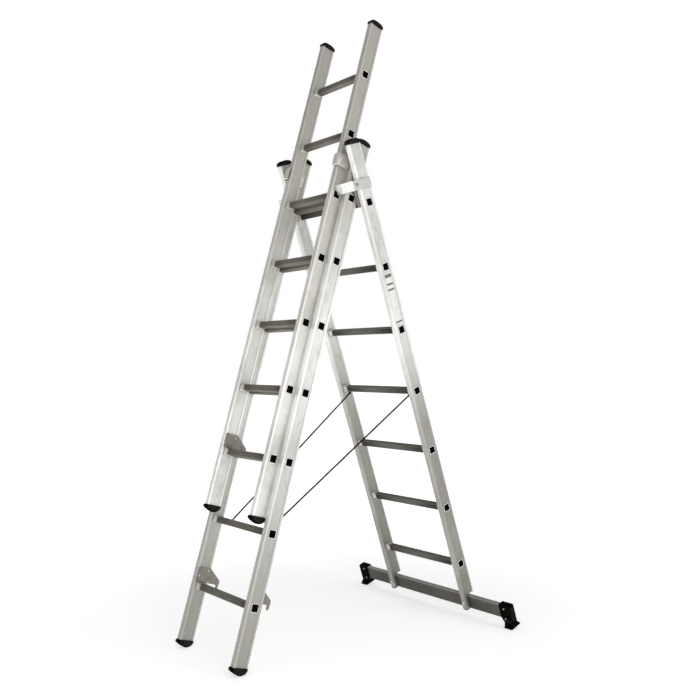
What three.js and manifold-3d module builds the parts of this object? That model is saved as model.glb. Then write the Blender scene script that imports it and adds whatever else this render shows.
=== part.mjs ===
// Combination ladder of three aluminium sections, standing as an A-frame with the third section extended.
// Millimetres, +Z up, rungs along X, front leg towards -Y. "right" is +X and "left" is -X.
// Each section is built in its own frame: x along the rungs, y through the stile from front to rear,
// z up the section, zero at the centre of rung 1.
import * as THREE from "three";
import { mergeVertices } from "three/addons/utils/BufferGeometryUtils.js";
import Module from "manifold-3d";

const wasm = await Module();
wasm.setup();

const GAP = 0.3;

// Rungs
const RUNG_COUNT = 7;
const RUNG_PITCH = 280;
const RUNG_SIZE = 27;
const RUNG_CORNER = 4.5;
const RUNG_WALL = 1.6;
const RUNG_CLEARANCE = 0.25;
const COLLAR_SIZE = 34;
const COLLAR_STAND = 2.5;
const RIM_SIZE = 35;

// Stiles: beaded box section, front and rear beads standing proud of a recessed web
const STILE_DEPTH = 64;
const STILE_THICK = 25;
const STILE_WALL = 1.5;
const STILE_CORNER = 2.5;
const BEAD = 10;
const RECESS = 1.6;
const FRONT_FOOT = 220.5;
const EXT_FOOT = 227;
const REAR_HEAD = 246;
const FRONT_HEAD = 244;
const EXT_HEAD = 235;

// Outside half-widths and front-to-rear spacing of the sections
const REAR_HALF = 257;
const FRONT_HALF = 219;
const EXT_HALF = 182;
const NEST_OFFSET = 52;
const EXT_PITCHES = 2;
const FRONT_TILT = 16.36;
const REAR_TILT = 19.11;

// End caps
const TOP_OVERHANG = 2.4;
const TOP_SKIRT = 11;
const TOP_CROWN = 22;
const FOOT_OVERHANG = 1.2;
const CAP_SPIGOT = 20;
const SPIGOT_INSET = 4;

// Stabiliser bar, its boots and bolts on the rear section
const BAR_TOP = -157;
const BAR_HEIGHT = 65;
const BAR_FRONT = -11;
const BAR_DEPTH = 20.5;
const BAR_WALL = 2;
const BAR_HALF = 495;
const NOTCH_TOP = -155;
const LIP_END = -218;
const BOOT_INNER = 447;
const BOOT_OUTER = 505;
const BOOT_TOP = -152;
const SOLE = -257.5;
const BAR_BOLT_HEIGHT = -187;

// Top joint: the pivot pin is held by a lug on the front stile and turns in the rear stile's backing plate
const PIVOT_FRONT = { y: 47.4, z: 1709.3 };
const PIVOT_REAR_Y = -2.6;
const PIN_RADIUS = 5;
const PIN_RUNNING = 0.06;
const BOLT_CLEAR = 0.3;
const LUG_THICK = 3;
const STRAP_THICK = 3;
const STRAP_LOW = 1740;
const STRAP_HIGH = 1781;
const STRAP_REACH = 97;
const STRAP_INNER_END = 187;
const BACKING_THICK = 2.7;
const BACKING_LOW = 1668;
const BACKING_HIGH = 1745;
const BACKING_STEP = 1698.5;

// Guides at the head of the front section, hooks at the foot of the front and third sections
const GUIDE_LOW = 1797;
const GUIDE_HIGH = 1853;
const GUIDE_FRONT = -90.5;
const GUIDE_END = 161;
const HOOK_THICK = 3;
const HOOK_SEAT = 14.2;

// Restraint cords from front rung 2 to rear rung 4
const CORD_RADIUS = 3.6;
const KNOT_RADIUS = 6.2;
const CORD_FRONT_RUNG = 2;
const CORD_REAR_RUNG = 4;
const CORD_REAR_X = 205;
const CORD_FRONT_X = { left: -117, right: 152 };

// Plain material of each kind of piece
const look = (name, color, metalness, roughness) => new THREE.MeshStandardMaterial({
  name,
  color,
  metalness,
  roughness,
});
const materials = {
  stile: look("stile", 0xd8d6cf, 0.9, 0.4),
  rung: look("rung", 0x98938a, 0.9, 0.45),
  steel: look("steel", 0x8d887f, 0.9, 0.5),
  bracket: look("bracket", 0xcfcdc6, 0.9, 0.4),
  plastic: look("plastic", 0x161616, 0, 0.6),
  cord: look("cord", 0x2c2a28, 0, 0.9),
};

const group = new THREE.Group();

// Solid and mesh helpers

function toSolid(geometry) {
  geometry.deleteAttribute("normal");
  geometry.deleteAttribute("uv");
  const merged = mergeVertices(geometry, 1e-4);
  const vertProperties = merged.attributes.position.array;
  const triVerts = new Uint32Array(merged.index.array);
  return new wasm.Manifold(new wasm.Mesh({ numProp: 3, vertProperties, triVerts }));
}

function extrude(outline, hole, depth) {
  const shape = new THREE.Shape(outline.map(([a, b]) => new THREE.Vector2(a, b)));
  if (hole) shape.holes.push(new THREE.Path(hole.map(([a, b]) => new THREE.Vector2(a, b))));
  return new THREE.ExtrudeGeometry(shape, { depth, bevelEnabled: false, steps: 1 });
}

// Prism along x from an outline in (y, z)
function alongX(outline, x0, x1, hole) {
  const turn = new THREE.Matrix4().set(0, 0, 1, x0, 1, 0, 0, 0, 0, 1, 0, 0, 0, 0, 0, 1);
  return toSolid(extrude(outline, hole, x1 - x0).applyMatrix4(turn));
}

// Prism along y from an outline in (z, x)
function alongY(outline, y0, y1, hole) {
  const turn = new THREE.Matrix4().set(0, 1, 0, 0, 0, 0, 1, y0, 1, 0, 0, 0, 0, 0, 0, 1);
  return toSolid(extrude(outline, hole, y1 - y0).applyMatrix4(turn));
}

// Prism along z from an outline in (x, y)
function alongZ(outline, z0, z1, hole) {
  const turn = new THREE.Matrix4().makeTranslation(0, 0, z0);
  return toSolid(extrude(outline, hole, z1 - z0).applyMatrix4(turn));
}

function rectangle(a0, b0, a1, b1) {
  return [[a0, b0], [a1, b0], [a1, b1], [a0, b1]];
}

function roundedSquare(size, radius, steps, centreA = 0, centreB = 0) {
  const reach = size / 2 - radius;
  const points = [];
  for (let corner = 0; corner < 4; corner += 1) {
    const ca = corner === 0 || corner === 3 ? reach : -reach;
    const cb = corner < 2 ? reach : -reach;
    for (let k = 0; k <= steps; k += 1) {
      const angle = (corner + k / steps) * (Math.PI / 2);
      points.push([centreA + ca + radius * Math.cos(angle), centreB + cb + radius * Math.sin(angle)]);
    }
  }
  return points;
}

function disc(radius, steps, centreA, centreB) {
  const points = [];
  for (let k = 0; k < steps; k += 1) {
    const angle = (k / steps) * 2 * Math.PI;
    points.push([centreA + radius * Math.cos(angle), centreB + radius * Math.sin(angle)]);
  }
  return points;
}

// Outline of a bent strip of even thickness that follows a path, mitred at the bends
function strip(path, thickness) {
  const half = thickness / 2;
  const left = [];
  const right = [];
  path.forEach((point, i) => {
    const before = path[Math.max(i - 1, 0)];
    const after = path[Math.min(i + 1, path.length - 1)];
    const into = new THREE.Vector2(point[0] - before[0], point[1] - before[1]).normalize();
    const out = new THREE.Vector2(after[0] - point[0], after[1] - point[1]).normalize();
    if (i === 0) into.copy(out);
    if (i === path.length - 1) out.copy(into);
    const mitre = new THREE.Vector2(-into.y - out.y, into.x + out.x).normalize();
    const reach = half / (mitre.x * -into.y + mitre.y * into.x);
    left.push([point[0] + mitre.x * reach, point[1] + mitre.y * reach]);
    right.unshift([point[0] - mitre.x * reach, point[1] - mitre.y * reach]);
  });
  return left.concat(right);
}

function union(solids) {
  return solids.reduce((sum, solid) => sum.add(solid));
}

function sectionFrame(origin, tilt) {
  const frame = new THREE.Matrix4().makeRotationX(THREE.MathUtils.degToRad(tilt));
  return frame.setPosition(origin);
}

function addMesh(name, geometry, material) {
  const mesh = new THREE.Mesh(geometry, materials[material]);
  mesh.name = name;
  group.add(mesh);
}

function place(name, solid, frame, material) {
  const made = solid.getMesh();
  const geometry = new THREE.BufferGeometry();
  geometry.setAttribute("position", new THREE.BufferAttribute(new Float32Array(made.vertProperties), 3));
  geometry.setIndex(new THREE.BufferAttribute(new Uint32Array(made.triVerts), 1));
  geometry.applyMatrix4(frame);
  geometry.computeVertexNormals();
  addMesh(name, geometry, material);
}

// The same piece on both sides of a section; the maker builds the right-hand one
function placePair(name, solid, frame, material) {
  place(`${name}_right`, solid, frame, material);
  place(`${name}_left`, solid.mirror([1, 0, 0]), frame, material);
}

// Stiles and rungs

function stileOutline(inner) {
  const outer = inner + STILE_THICK;
  const half = STILE_DEPTH / 2;
  const web = half - BEAD;
  const nick = STILE_CORNER * (1 - Math.SQRT1_2);
  const corners = (x, toX, y, toY) => [
    [x + toX * STILE_CORNER, y],
    [x + toX * nick, y + toY * nick],
    [x, y + toY * STILE_CORNER],
  ];
  const webSide = (x, inwards) => [
    [x, web],
    [x + inwards * RECESS, web - RECESS],
    [x + inwards * RECESS, RECESS - web],
    [x, -web],
  ];
  return [
    ...corners(outer, -1, -half, 1),
    ...webSide(outer, -1).reverse(),
    ...corners(outer, -1, half, -1).reverse(),
    ...corners(inner, 1, half, -1),
    ...webSide(inner, 1),
    ...corners(inner, 1, -half, 1).reverse(),
  ];
}

function stileBore(inner) {
  const outer = inner + STILE_THICK;
  const end = STILE_DEPTH / 2 - STILE_WALL;
  const web = STILE_DEPTH / 2 - BEAD;
  const wide = STILE_WALL;
  const narrow = STILE_WALL + RECESS;
  return [
    [inner + wide, -end],
    [outer - wide, -end],
    [outer - wide, -web],
    [outer - narrow, RECESS - web],
    [outer - narrow, web - RECESS],
    [outer - wide, web],
    [outer - wide, end],
    [inner + wide, end],
    [inner + wide, web],
    [inner + narrow, web - RECESS],
    [inner + narrow, RECESS - web],
    [inner + wide, -web],
  ];
}

function makeStile(half, foot, head) {
  const inner = half - STILE_THICK;
  let stile = alongZ(stileOutline(inner), -foot, (RUNG_COUNT - 1) * RUNG_PITCH + head, stileBore(inner));
  for (let i = 0; i < RUNG_COUNT; i += 1) {
    const size = RUNG_SIZE + 2 * RUNG_CLEARANCE;
    const hole = roundedSquare(size, RUNG_CORNER + RUNG_CLEARANCE, 1, 0, i * RUNG_PITCH);
    stile = stile.subtract(alongX(hole, inner - 1, half + 1));
  }
  return stile;
}

// Square tube pinned in both stiles: swaged collar against each inner web, flared rim in each outer web
function makeRung(half, height) {
  const inner = half - STILE_THICK + RECESS - GAP;
  const outer = half - RECESS + GAP;
  const end = half - 0.1;
  const bore = roundedSquare(RUNG_SIZE - 2 * RUNG_WALL, RUNG_CORNER - RUNG_WALL, 1, 0, height);
  const tube = roundedSquare(RUNG_SIZE, RUNG_CORNER, 1, 0, height);
  const collar = roundedSquare(COLLAR_SIZE, RUNG_CORNER + 3, 1, 0, height);
  const rim = roundedSquare(RIM_SIZE, RUNG_CORNER + 2, 1, 0, height);
  const stand = half - STILE_THICK - COLLAR_STAND;
  return union([
    alongX(tube, -end, end, bore),
    alongX(collar, stand, inner, bore),
    alongX(collar, -inner, -stand, bore),
    alongX(rim, outer, end, bore),
    alongX(rim, -end, -outer, bore),
  ]);
}

function addRungs(prefix, half, frame) {
  for (let i = 0; i < RUNG_COUNT; i += 1) {
    place(`${prefix}_rung_${i + 1}`, makeRung(half, i * RUNG_PITCH), frame, "rung");
  }
}

// End caps: a spigot in the stile's bore and a domed or flared outside end

function capSpigot(inner, z0, z1) {
  const reach = STILE_DEPTH / 2 - STILE_WALL - 0.5;
  return alongZ(rectangle(inner + SPIGOT_INSET, -reach, inner + STILE_THICK - SPIGOT_INSET, reach), z0, z1);
}

function makeTopCap(half, end) {
  const inner = half - STILE_THICK;
  const z = end + GAP;
  const reach = STILE_DEPTH / 2 + TOP_OVERHANG;
  const side = [
    [reach - 1, 0], [reach, 5], [reach, TOP_SKIRT], [reach - 4, TOP_SKIRT + 4.5],
    [22, TOP_CROWN - 3], [12, TOP_CROWN - 0.8], [4, TOP_CROWN],
  ];
  const profile = side.concat(side.map(([y, h]) => [-y, h]).reverse()).map(([y, h]) => [y, z + h]);
  const middle = inner + STILE_THICK / 2;
  const wide = STILE_THICK / 2 + TOP_OVERHANG;
  const flank = [
    [z, wide - 0.6], [z + 3, wide], [z + TOP_CROWN - 4, wide],
    [z + TOP_CROWN - 1, wide - 1], [z + TOP_CROWN, wide - 3],
  ];
  const ends = flank.concat(flank.map(([h, x]) => [h, -x]).reverse()).map(([h, x]) => [h, middle + x]);
  const dome = alongX(profile, inner - 2, half + 2).intersect(alongY(ends, -reach - 1, reach + 1));
  return dome.add(capSpigot(inner, end - CAP_SPIGOT, z + 2));
}

function footProfile(end) {
  const z = -end - GAP;
  const points = [
    [-33.2, 0], [-38.5, -8], [-37, -12], [-27, -19], [-9, -26.5], [1, -29],
    [11, -27.5], [23, -22], [31, -15], [33.4, -7], [33.2, 0],
  ];
  return points.map(([y, h]) => [y, z + h]);
}

function makeFootCap(half, end) {
  const inner = half - STILE_THICK;
  const z = -end - GAP;
  const middle = inner + STILE_THICK / 2;
  const wide = STILE_THICK / 2 + FOOT_OVERHANG;
  const flank = [[z, wide], [z - 21, wide + 0.6], [z - 26.5, wide - 1.4], [z - 30, wide - 5]];
  const ends = flank.concat(flank.map(([h, x]) => [h, -x]).reverse()).map(([h, x]) => [h, middle + x]);
  const pad = alongX(footProfile(end), inner - 3, half + 3).intersect(alongY(ends, -45, 45));
  return pad.add(capSpigot(inner, z - 2, -end + CAP_SPIGOT));
}

// Hook plate on a stile's inner face: sits over the rung of the section behind, with a prong behind it
function makeHook(half) {
  const outline = [
    [-28, 18], [34, 18], [36, HOOK_SEAT], [68, HOOK_SEAT], [70.5, 12], [71.5, -4],
    [75, -6], [81.5, -4], [84.5, 24], [84.5, 29], [81, 34.5], [33.5, 72.5], [28, 76], [-28, 75],
  ];
  const face = half - STILE_THICK - GAP;
  return alongX(outline, face - HOOK_THICK, face);
}

// Guide at the head of the front stile: fixed to its inner face, bent round the third section's stile
function makeGuide() {
  const x = FRONT_HALF - STILE_THICK - GAP - 1.5;
  const bend = [
    [x, GUIDE_FRONT + 5], [x - 1.5, GUIDE_FRONT + 1.5], [x - 5, GUIDE_FRONT], [GUIDE_END, GUIDE_FRONT],
  ];
  const path = [[x, 10], ...bend];
  const rimPath = [[x, -34], ...bend];
  const plate = alongZ(strip(path, 3), GUIDE_LOW, GUIDE_HIGH);
  const rim = alongZ(strip(rimPath, 6.4), GUIDE_LOW, GUIDE_LOW + 5);
  const inside = rectangle(GUIDE_END - 3, GUIDE_FRONT + 1.7, FRONT_HALF - STILE_THICK - GAP - 3, 12);
  const keepClear = alongZ(inside, GUIDE_LOW - 1, GUIDE_HIGH + 1);
  return plate.add(rim).subtract(keepClear);
}

// Rear section specials

function cutNotch(stile) {
  const front = BAR_FRONT - 0.6;
  const rear = STILE_DEPTH;
  const box = alongX(rectangle(front, LIP_END - 50, rear, NOTCH_TOP), 200, REAR_HALF + 5);
  return stile.subtract(box);
}

function boltHole(radius, y0, y1) {
  const x = REAR_HALF - STILE_THICK / 2;
  return alongY(disc(radius, 16, BAR_BOLT_HEIGHT, x), y0, y1);
}

function makeBar() {
  const y1 = BAR_FRONT + BAR_DEPTH;
  const z0 = BAR_TOP - BAR_HEIGHT;
  const c = 2.5;
  const outline = [
    [BAR_FRONT + c, z0], [y1 - c, z0], [y1, z0 + c], [y1, BAR_TOP - c],
    [y1 - c, BAR_TOP], [BAR_FRONT + c, BAR_TOP], [BAR_FRONT, BAR_TOP - c], [BAR_FRONT, z0 + c],
  ];
  const bore = rectangle(BAR_FRONT + BAR_WALL, z0 + BAR_WALL, y1 - BAR_WALL, BAR_TOP - BAR_WALL);
  const hole = boltHole(4 + BOLT_CLEAR, BAR_FRONT - 1, y1 + 1);
  return alongX(outline, -BAR_HALF, BAR_HALF, bore).subtract(hole).subtract(hole.mirror([1, 0, 0]));
}

// Boot over the bar's end, with a flared sole
function makeBoot() {
  const side = [
    [-16, BOOT_TOP - 2], [-14, BOOT_TOP], [14, BOOT_TOP], [16, BOOT_TOP - 2], [16, -236], [21, -243],
    [29, -252], [29.5, SOLE + 1.5], [27, SOLE], [-30, SOLE], [-32, SOLE + 1.5], [-31.5, -252],
    [-23, -244], [-16, -236],
  ];
  const front = [
    [BOOT_TOP, BOOT_INNER + 3], [BOOT_TOP, BOOT_OUTER - 4], [BOOT_TOP - 4, BOOT_OUTER], [-238, BOOT_OUTER],
    [-250, BOOT_OUTER + 2], [SOLE, BOOT_OUTER + 2], [SOLE, BOOT_INNER + 19], [-250, BOOT_INNER + 20],
    [-240, BOOT_INNER + 15], [-224, BOOT_INNER + 4], [-214, BOOT_INNER], [BOOT_TOP - 3, BOOT_INNER],
  ];
  const body = alongX(side, BOOT_INNER - 5, BOOT_OUTER + 5).intersect(alongY(front, -40, 40));
  const z0 = BAR_TOP - BAR_HEIGHT - GAP;
  const socket = alongX(
    rectangle(BAR_FRONT - GAP, z0, BAR_FRONT + BAR_DEPTH + GAP, BAR_TOP + GAP),
    BOOT_INNER - 10,
    BAR_HALF + GAP,
  );
  return body.subtract(socket);
}

// Bolt through the lip and the bar, dome head in front and nut behind
function makeBarBolt() {
  const x = REAR_HALF - STILE_THICK / 2;
  const front = -STILE_DEPTH / 2 - GAP;
  const rear = BAR_FRONT + BAR_DEPTH + GAP;
  return union([
    alongY(disc(7.5, 16, BAR_BOLT_HEIGHT, x), front - 2, front),
    alongY(disc(5, 16, BAR_BOLT_HEIGHT, x), front - 3, front),
    alongY(disc(4, 16, BAR_BOLT_HEIGHT, x), front - 1, rear + 8),
    alongY(disc(7, 6, BAR_BOLT_HEIGHT, x), rear, rear + 6),
  ]);
}

// Top joint

function pivotDisc(radius, steps, centre, x0, x1) {
  return alongX(disc(radius, steps, centre.y, centre.z), x0, x1);
}

// Strap riveted round the rear stile, with a front return that hooks inwards in front of the front stile
function makeStrap() {
  const x = REAR_HALF + GAP + STRAP_THICK / 2;
  const rear = STILE_DEPTH / 2 + GAP + STRAP_THICK / 2;
  const front = -STRAP_REACH - STRAP_THICK / 2;
  const path = [
    [238, rear], [x - 2, rear], [x, rear - 2], [x, -68], [x - 2.5, -72],
    [229, front + 3], [225, front], [STRAP_INNER_END, front],
  ];
  return alongZ(strip(path, STRAP_THICK), STRAP_LOW, STRAP_HIGH);
}

// Backing plate on the rear stile's inner face, stepped round rung 7, with the bearing hole for the pin
function makeBacking(centre) {
  const outline = [
    [-45, BACKING_LOW], [-19, BACKING_LOW], [-19, BACKING_STEP], [19, BACKING_STEP],
    [25, BACKING_STEP + 6], [25, BACKING_HIGH], [-39, BACKING_HIGH], [-45, BACKING_HIGH - 6],
  ];
  const face = REAR_HALF - STILE_THICK - GAP;
  const plate = alongX(outline, face - BACKING_THICK, face);
  return plate.subtract(pivotDisc(PIN_RADIUS + PIN_RUNNING, 32, centre, face - 5, face + 1));
}

// Lug on the front stile's outer face, with an ear that reaches back to the pivot
function makeLug() {
  const { y, z } = PIVOT_FRONT;
  const face = FRONT_HALF + GAP;
  const plate = [[-10, z - 4], [25, z - 4], [y, z - 11], [y, z + 11], [25, z + 50], [-10, z + 50]];
  const ear = pivotDisc(11, 24, PIVOT_FRONT, face, face + LUG_THICK);
  const lug = alongX(plate, face, face + LUG_THICK).add(ear);
  return lug.subtract(pivotDisc(PIN_RADIUS + BOLT_CLEAR, 24, PIVOT_FRONT, face - 1, face + LUG_THICK + 1));
}

// Pivot pin: head inside the lug, sleeve between lug and backing plate, end in the backing plate
function makePivotPin() {
  const lugIn = FRONT_HALF + GAP;
  const lugOut = lugIn + LUG_THICK;
  const backing = REAR_HALF - STILE_THICK - GAP - BACKING_THICK;
  return union([
    pivotDisc(9, 24, PIVOT_FRONT, lugIn - 4.8, lugIn - GAP),
    pivotDisc(PIN_RADIUS, 32, PIVOT_FRONT, lugIn - 1, REAR_HALF - STILE_THICK + 1.1),
    pivotDisc(8, 24, PIVOT_FRONT, lugOut + GAP, backing - GAP),
  ]);
}

// Restraint cord: one taut length with a knot against each rung

function addCord(name, from, to) {
  const length = from.distanceTo(to);
  const knot = (end, into) => [
    [0, end],
    [KNOT_RADIUS * 0.75, end],
    [KNOT_RADIUS, end + into * 3],
    [KNOT_RADIUS, end + into * 8],
    [CORD_RADIUS, end + into * 12],
  ];
  const profile = knot(0, 1).concat(knot(length, -1).reverse());
  const points = profile.map(([r, h]) => new THREE.Vector2(r, h));
  const geometry = new THREE.LatheGeometry(points, 12);
  geometry.deleteAttribute("normal");
  geometry.deleteAttribute("uv");
  const direction = to.clone().sub(from).normalize();
  const turn = new THREE.Quaternion().setFromUnitVectors(new THREE.Vector3(0, 1, 0), direction);
  geometry.applyQuaternion(turn).translate(from.x, from.y, from.z);
  const merged = mergeVertices(geometry, 1e-3);
  merged.computeVertexNormals();
  addMesh(name, merged, "cord");
}

// Section frames: both sections stand on the floor, and their pivot axes meet

function floorHeight(points, tilt) {
  const angle = THREE.MathUtils.degToRad(tilt);
  return -Math.min(...points.map(([y, z]) => z * Math.cos(angle) + y * Math.sin(angle)));
}

function inWorld(frame, x, y, z) {
  return new THREE.Vector3(x, y, z).applyMatrix4(frame);
}

const frontFrame = sectionFrame(
  new THREE.Vector3(0, 0, floorHeight(footProfile(FRONT_FOOT), -FRONT_TILT)),
  -FRONT_TILT,
);
const extFrame = frontFrame.clone();
extFrame.setPosition(inWorld(frontFrame, 0, -NEST_OFFSET, EXT_PITCHES * RUNG_PITCH));

const pivot = inWorld(frontFrame, 0, PIVOT_FRONT.y, PIVOT_FRONT.z);
const rearRise = floorHeight([[-30, SOLE], [-32, SOLE + 1.5]], REAR_TILT);
const rearAngle = THREE.MathUtils.degToRad(REAR_TILT);
const pivotRearZ = (pivot.z - rearRise - PIVOT_REAR_Y * Math.sin(rearAngle)) / Math.cos(rearAngle);
const rearShift = pivot.y - PIVOT_REAR_Y * Math.cos(rearAngle) + pivotRearZ * Math.sin(rearAngle);
const rearFrame = sectionFrame(new THREE.Vector3(0, rearShift, rearRise), REAR_TILT);

const lastRung = (RUNG_COUNT - 1) * RUNG_PITCH;

// Rear section
const rearStile = cutNotch(makeStile(REAR_HALF, -LIP_END, REAR_HEAD));
const lipHole = boltHole(4 + BOLT_CLEAR, -STILE_DEPTH, 0);
placePair("rear_stile", rearStile.subtract(lipHole), rearFrame, "stile");
addRungs("rear", REAR_HALF, rearFrame);
placePair("rear_top_cap", makeTopCap(REAR_HALF, lastRung + REAR_HEAD), rearFrame, "plastic");
place("stabiliser_bar", makeBar(), rearFrame, "rung");
placePair("stabiliser_boot", makeBoot(), rearFrame, "plastic");
placePair("stabiliser_bolt", makeBarBolt(), rearFrame, "steel");
placePair("hinge_strap", makeStrap(), rearFrame, "bracket");
placePair("hinge_backing", makeBacking({ y: PIVOT_REAR_Y, z: pivotRearZ }), rearFrame, "steel");

// Front section
placePair("front_stile", makeStile(FRONT_HALF, FRONT_FOOT, FRONT_HEAD), frontFrame, "stile");
addRungs("front", FRONT_HALF, frontFrame);
placePair("front_top_cap", makeTopCap(FRONT_HALF, lastRung + FRONT_HEAD), frontFrame, "plastic");
placePair("front_foot", makeFootCap(FRONT_HALF, FRONT_FOOT), frontFrame, "plastic");
placePair("front_hook", makeHook(FRONT_HALF), frontFrame, "steel");
placePair("front_guide", makeGuide(), frontFrame, "stile");
placePair("pivot_lug", makeLug(), frontFrame, "steel");
placePair("pivot_pin", makePivotPin(), frontFrame, "steel");

// Third section
placePair("ext_stile", makeStile(EXT_HALF, EXT_FOOT, EXT_HEAD), extFrame, "stile");
addRungs("ext", EXT_HALF, extFrame);
placePair("ext_top_cap", makeTopCap(EXT_HALF, lastRung + EXT_HEAD), extFrame, "plastic");
placePair("ext_foot", makeFootCap(EXT_HALF, EXT_FOOT), extFrame, "plastic");
placePair("ext_hook", makeHook(EXT_HALF), extFrame, "steel");

// Restraint cords
for (const side of ["left", "right"]) {
  const sign = side === "left" ? -1 : 1;
  const reach = RUNG_SIZE / 2 + KNOT_RADIUS + GAP;
  const low = inWorld(frontFrame, CORD_FRONT_X[side], reach, (CORD_FRONT_RUNG - 1) * RUNG_PITCH + 2);
  const high = inWorld(rearFrame, sign * CORD_REAR_X, -3, (CORD_REAR_RUNG - 1) * RUNG_PITCH - reach);
  addCord(`restraint_cord_${side}`, low, high);
}

// Move the whole ladder so that the origin is at the middle of its footprint, on the floor
const bounds = new THREE.Box3().setFromObject(group);
const middle = (bounds.min.y + bounds.max.y) / 2;
for (const mesh of group.children) mesh.geometry.translate(0, -middle, 0);

export default group;
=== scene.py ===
import math

import bmesh
import bpy
from mathutils import Euler, Matrix, Vector


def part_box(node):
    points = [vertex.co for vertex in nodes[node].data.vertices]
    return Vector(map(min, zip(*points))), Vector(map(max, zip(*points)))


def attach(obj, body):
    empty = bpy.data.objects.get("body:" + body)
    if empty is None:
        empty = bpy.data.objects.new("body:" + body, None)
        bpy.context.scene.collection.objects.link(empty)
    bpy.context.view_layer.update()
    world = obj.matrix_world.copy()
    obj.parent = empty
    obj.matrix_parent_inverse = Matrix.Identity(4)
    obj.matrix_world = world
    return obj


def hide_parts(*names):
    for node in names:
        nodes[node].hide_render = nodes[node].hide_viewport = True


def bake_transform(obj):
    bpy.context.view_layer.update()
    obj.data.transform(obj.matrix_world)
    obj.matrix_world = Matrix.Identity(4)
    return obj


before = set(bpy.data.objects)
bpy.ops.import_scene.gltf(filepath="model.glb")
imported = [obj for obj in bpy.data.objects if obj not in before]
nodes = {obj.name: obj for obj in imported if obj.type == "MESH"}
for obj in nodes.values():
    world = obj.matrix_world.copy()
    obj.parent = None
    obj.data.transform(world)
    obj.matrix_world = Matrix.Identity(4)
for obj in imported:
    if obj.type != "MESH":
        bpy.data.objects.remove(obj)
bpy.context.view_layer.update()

# ------------------------------------------------------------------ sections
# A section's own frame: x along the rungs, y through the stile from front to
# rear, z up the section, zero at the centre of its lowest rung.

RUNG_PITCH = 0.280
RUNG_COUNT = 7
STILE_THICK = 0.025
FRONT_TILT = math.radians(-16.36)
REAR_TILT = math.radians(19.11)


def section(prefix, body, half, tilt, foot, head, shade):
    """A section's frame, half width, stile lengths past the end rungs, and how much its rung colour is
    scaled, which paints shade on the rear rungs.
    """
    lo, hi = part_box(f"{prefix}_rung_1")
    origin = (Vector(lo) + Vector(hi)) / 2
    turn = Matrix.Rotation(tilt, 4, "X")
    return {
        "prefix": prefix,
        "body": body,
        "half": half,
        "tilt": tilt,
        "foot": foot,
        "head": (RUNG_COUNT - 1) * RUNG_PITCH + head,
        "shade": shade,
        "origin": origin,
        "matrix": Matrix.Translation(origin) @ turn,
    }


# The last number scales each section's rung colour: the rear rungs are darkened as painted shade, being
# lower and further back.
REAR = section("rear", "rear_section", 0.257, REAR_TILT, 0.218, 0.246, 0.27)
FRONT = section("front", "front_section", 0.219, FRONT_TILT, 0.2205, 0.244, 0.93)
UPPER = section("ext", "upper_section", 0.182, FRONT_TILT, 0.227, 0.235, 0.93)
SECTIONS = (REAR, FRONT, UPPER)
SIDES = (("left", -1), ("right", 1))

# -------------------------------------------------------------------- camera

CAMERA_PLACE = (2.91582, -2.30900, 1.16556)
CAMERA_PITCH = math.radians(91.05)
CAMERA_HEADING = math.radians(50.62)
CAMERA_SENSOR = 36
CAMERA_LENS = 43.62

camera_data = bpy.data.cameras.new("camera")
camera_data.sensor_width = CAMERA_SENSOR
camera_data.lens = CAMERA_LENS
camera_data.clip_start = 0.1
camera_data.clip_end = 60
camera = bpy.data.objects.new("camera", camera_data)
camera.location = CAMERA_PLACE
camera.rotation_euler = Euler((CAMERA_PITCH, 0, CAMERA_HEADING))
bpy.context.scene.collection.objects.link(camera)
bpy.context.scene.camera = camera

# ----------------------------------------------------------------- materials
# Places in these looks are in the section's own frame: distances of the stile's bead
# from the middle of its web, heights of the tread above a rung's centre, and heights
# up the section of the bar's pale top edge and of the painted shadow line above the guide's rolled rim.

BEAD_START = 0.0205
BEAD_EDGE = 0.0212
BEAD_FULL = 0.0235
TREAD_LOW = 0.0098
TREAD_HIGH = 0.0126
BAR_TOP_LOW = -0.163
BAR_TOP_HIGH = -0.157
GUIDE_ROLL_LINE = 1.8016


def shaded(colour, amount):
    return tuple(c * amount for c in colour)


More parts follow.
